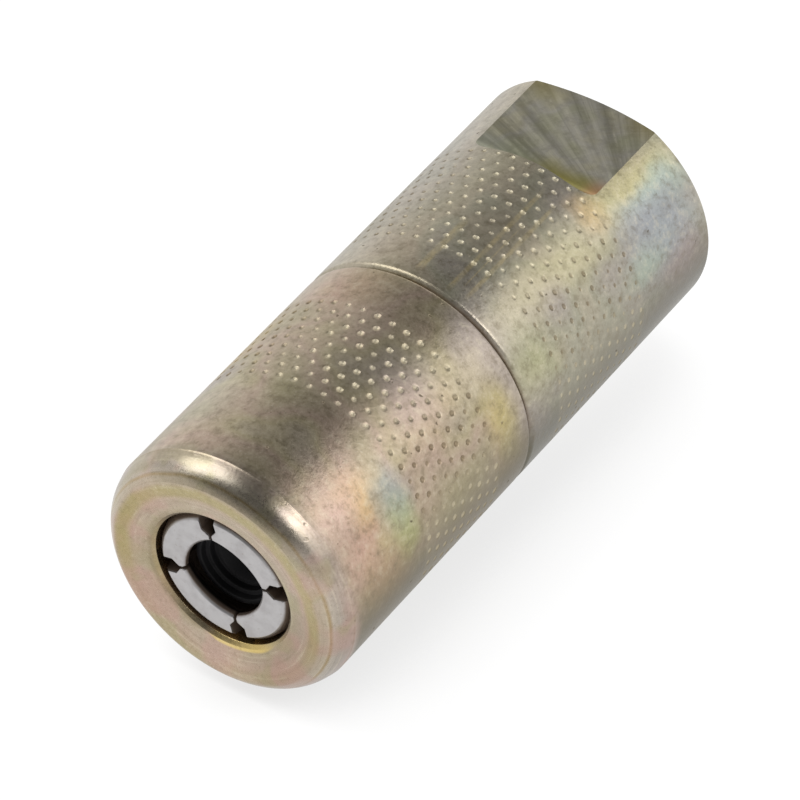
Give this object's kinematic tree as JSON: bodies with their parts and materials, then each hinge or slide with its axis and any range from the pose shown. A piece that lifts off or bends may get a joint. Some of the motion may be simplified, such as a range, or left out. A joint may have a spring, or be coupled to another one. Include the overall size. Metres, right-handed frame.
{
  "type": "grease coupler",
  "caption": "Grease coupler: knurled round cap over spring-closed jaws that grip a grease nipple, rubber seal and check valve inside, and a rear body with wrench flats and a threaded inlet.",
  "frame": {"origin": "centre of the inlet face, on the coupler's axis", "axes": "+Y along the axis, out of the inlet; the nose with the jaws points to -Y; +Z is the outward normal of one wrench flat"},
  "size_m": [0.015, 0.0361, 0.015],
  "materials": {
    "zinc_plate": "yellow-passivated zinc on turned steel, satin, iridescent",
    "jaw_steel": "hardened steel, bare, fine satin",
    "turned_steel": "turned steel, satin",
    "spring_steel": "drawn spring wire",
    "ball_steel": "polished bearing ball",
    "seal_rubber": "black nitrile rubber, matt"
  },
  "bodies": {
    "shell": {"cap": "zinc_plate", "rear_body": "zinc_plate", "retaining_ring": "spring_steel", "main_spring": "spring_steel", "check_spring": "spring_steel"},
    "thrust": {"thrust_ring": "turned_steel"},
    "jaw_1": {"jaw_1": "jaw_steel"},
    "jaw_2": {"jaw_2": "jaw_steel"},
    "jaw_3": {"jaw_3": "jaw_steel"},
    "jaw_4": {"jaw_4": "jaw_steel"},
    "plunger": {"plunger": "turned_steel", "plunger_o_ring": "seal_rubber", "seal_washer": "turned_steel", "seal": "seal_rubber"},
    "check_ball": {"check_ball": "ball_steel"}
  },
  "joints": [
    {"name": "thrust_slide", "type": "slide", "parent": "shell", "child": "thrust", "axis": [0, 1, 0], "range_m": [0, 0.00275], "stiffness_N_per_m": 1800, "springref_m": -0.003, "deforming": ["main_spring"]},
    {"name": "plunger_slide", "type": "slide", "parent": "shell", "child": "plunger", "axis": [0, 1, 0], "range_m": [0, 0.0027], "stiffness_N_per_m": 2500, "springref_m": -0.001, "deforming": ["check_spring"]},
    {"name": "check_ball_slide", "type": "slide", "parent": "shell", "child": "check_ball", "axis": [0, -1, 0], "range_m": [0, 0.0008], "stiffness_N_per_m": 2500, "springref_m": -0.001, "deforming": ["check_spring"]},
    {"name": "jaw_1_slide", "type": "slide", "parent": "shell", "child": "jaw_1", "axis": [0.171, 0.9397, 0.2962], "range_m": [0, 0.00293]},
    {"name": "jaw_2_slide", "type": "slide", "parent": "shell", "child": "jaw_2", "axis": [-0.2962, 0.9397, 0.171], "range_m": [0, 0.00293]},
    {"name": "jaw_3_slide", "type": "slide", "parent": "shell", "child": "jaw_3", "axis": [-0.171, 0.9397, -0.2962], "range_m": [0, 0.00293]},
    {"name": "jaw_4_slide", "type": "slide", "parent": "shell", "child": "jaw_4", "axis": [0.2962, 0.9397, -0.171], "range_m": [0, 0.00293]}
  ],
  "couplings": [
    {"joint": "jaw_1_slide", "follows": "thrust_slide", "ratio": 1.0642},
    {"joint": "jaw_2_slide", "follows": "thrust_slide", "ratio": 1.0642},
    {"joint": "jaw_3_slide", "follows": "thrust_slide", "ratio": 1.0642},
    {"joint": "jaw_4_slide", "follows": "thrust_slide", "ratio": 1.0642}
  ]
}
